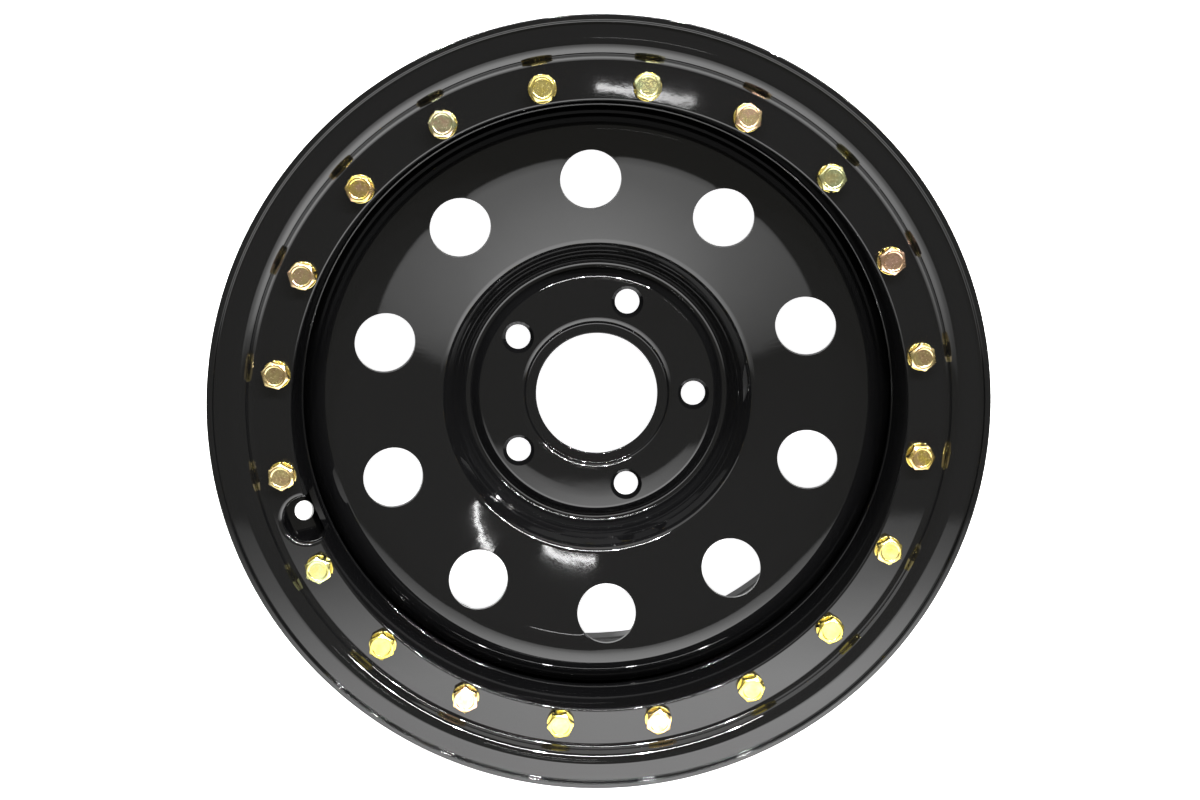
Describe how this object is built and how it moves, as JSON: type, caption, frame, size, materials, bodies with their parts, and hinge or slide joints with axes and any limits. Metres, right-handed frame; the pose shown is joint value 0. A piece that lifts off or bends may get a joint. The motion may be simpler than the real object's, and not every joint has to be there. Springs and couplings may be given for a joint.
{
  "type": "car wheel",
  "caption": "Black steel car wheel with a drop-centre rim, a vented disc, a hub pad with lug holes and a simulated beadlock ring with zinc-plated hex screws.",
  "frame": {"origin": "on the axle line, in the plane of the rear flange's edge", "axes": "+Z along the axle line towards the outboard face, +X to the right and +Y up as the picture shows the outboard face"},
  "size_m": [0.415, 0.415, 0.2148],
  "materials": {
    "black_paint": "gloss black paint on steel",
    "yellow_zinc": "bright yellow passivated zinc plating on steel"
  },
  "bodies": {
    "root": {"rim": "black_paint", "wheel_disc": "black_paint", "beadlock_ring": "black_paint", "ring_screws": "yellow_zinc", "lock_washers": "yellow_zinc", "ring_face_weld": "black_paint", "ring_skirt_weld": "black_paint", "disc_welds": "black_paint"}
  },
  "joints": []
}
